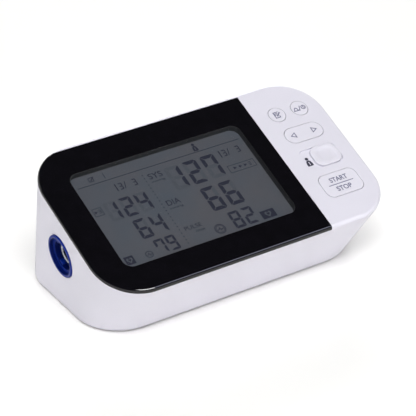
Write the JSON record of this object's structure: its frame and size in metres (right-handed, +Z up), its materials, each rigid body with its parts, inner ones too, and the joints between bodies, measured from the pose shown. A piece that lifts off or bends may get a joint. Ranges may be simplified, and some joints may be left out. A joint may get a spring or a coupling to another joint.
{
  "type": "upper-arm blood pressure monitor main unit",
  "caption": "Desktop blood pressure monitor with a sloping display panel, push keys, a rocker key, a user slide switch and a round air connector on its left side",
  "frame": {"origin": "on the table, under the middle of the case's box", "axes": "+Z up, +X to the right of someone facing the display, +Y from the front edge to the back"},
  "size_m": [0.191, 0.1221, 0.0838],
  "materials": {
    "case_white": "satin moulded ABS",
    "key_white": "satin moulded ABS",
    "panel_black": "high gloss",
    "window_clear": "clear, polished",
    "display_grey": "semi-gloss",
    "light_guide": "clear acrylic, frosted",
    "dark_plastic": "matt",
    "socket_blue": "satin",
    "board_green": "solder mask over glass fibre",
    "pale_plastic": "natural nylon",
    "steel": "plated sheet steel",
    "zinc": "zinc plated",
    "cell_jacket": "printed film, plain",
    "dark_rubber": "matt",
    "pink_rubber": "matt",
    "tape_black": "foam tape",
    "silicone_hose": "translucent silicone",
    "lead_red": "PVC insulation",
    "lead_black": "PVC insulation",
    "lead_blue": "PVC insulation",
    "copper_winding": "enamelled copper wire"
  },
  "bodies": {
    "case": {"upper_case": "case_white", "lower_case": "case_white", "display_panel": "panel_black", "window_pane": "window_clear", "panel_tape": "tape_black", "display_frame": "dark_plastic", "display_glass": "display_grey", "light_guide": "light_guide", "contact_strips": "pink_rubber", "main_board": "board_green", "board_screws": "zinc", "key_switches": "dark_plastic", "slide_switch": "steel", "main_chip": "dark_plastic", "board_parts": "board_green", "buzzer": "dark_plastic", "pressure_sensor": "pale_plastic", "board_connectors": "pale_plastic", "air_socket": "socket_blue", "socket_seal": "dark_rubber", "socket_nut": "pale_plastic", "power_inlet": "dark_plastic", "inlet_pin": "zinc", "rubber_feet": "dark_rubber", "case_screws": "zinc", "battery_cells": "cell_jacket", "battery_springs": "zinc", "battery_contacts": "zinc", "motor_can": "steel", "motor_end_cap": "dark_plastic", "motor_magnets": "steel", "pump_housing": "pale_plastic", "pump_diaphragm": "dark_rubber", "pump_cover": "pale_plastic", "pump_sleeve": "dark_rubber", "pump_strap": "steel", "strap_screws": "zinc", "valve_can": "steel", "valve_bobbin": "pale_plastic", "valve_coil": "copper_winding", "valve_spring": "zinc", "valve_seat": "pale_plastic", "air_manifold": "pale_plastic", "socket_hose": "silicone_hose", "pump_hose": "silicone_hose", "valve_hose": "silicone_hose", "sensor_hose": "silicone_hose", "battery_leads": "lead_red", "motor_leads": "lead_black", "valve_leads": "lead_blue"},
    "memory_button": {"memory_button": "key_white"},
    "average_button": {"average_button": "key_white"},
    "rocker_button": {"rocker_button": "key_white"},
    "start_stop_button": {"start_stop_button": "key_white"},
    "user_switch_slider": {"user_switch_slider": "key_white"},
    "battery_door": {"battery_door": "case_white"},
    "motor_rotor": {"motor_rotor": "copper_winding"},
    "valve_plunger": {"valve_plunger": "steel"}
  },
  "joints": [
    {"name": "memory_press", "type": "slide", "parent": "case", "child": "memory_button", "axis": [0, 0.3827, -0.9239], "range_m": [0, 0.0007], "stiffness_N_per_m": 1500},
    {"name": "average_press", "type": "slide", "parent": "case", "child": "average_button", "axis": [0, 0.3827, -0.9239], "range_m": [0, 0.0007], "stiffness_N_per_m": 1500},
    {"name": "start_stop_press", "type": "slide", "parent": "case", "child": "start_stop_button", "axis": [0, 0.3827, -0.9239], "range_m": [0, 0.0007], "stiffness_N_per_m": 1500},
    {"name": "rocker_tilt", "type": "hinge", "parent": "case", "child": "rocker_button", "pos_m": [0.07205, 0.00256, 0.06501], "axis": [0, 0.9239, 0.3827], "range_deg": [-2.2, 2.2], "stiffness_Nm_per_rad": 1},
    {"name": "user_switch", "type": "slide", "parent": "case", "child": "user_switch_slider", "axis": [1, 0, 0], "range_m": [-0.0065, 0]},
    {"name": "battery_door_hinge", "type": "hinge", "parent": "case", "child": "battery_door", "pos_m": [0.04105, -0.01755, 0.0022], "axis": [-1, 0, 0], "range_deg": [0, 75]},
    {"name": "motor_spin", "type": "hinge", "parent": "case", "child": "motor_rotor", "pos_m": [-0.0603, 0.027, 0.01875], "axis": [1, 0, 0], "continuous": true},
    {"name": "valve_stroke", "type": "slide", "parent": "case", "child": "valve_plunger", "axis": [1, 0, 0], "range_m": [0, 0.0008], "stiffness_N_per_m": 300}
  ]
}
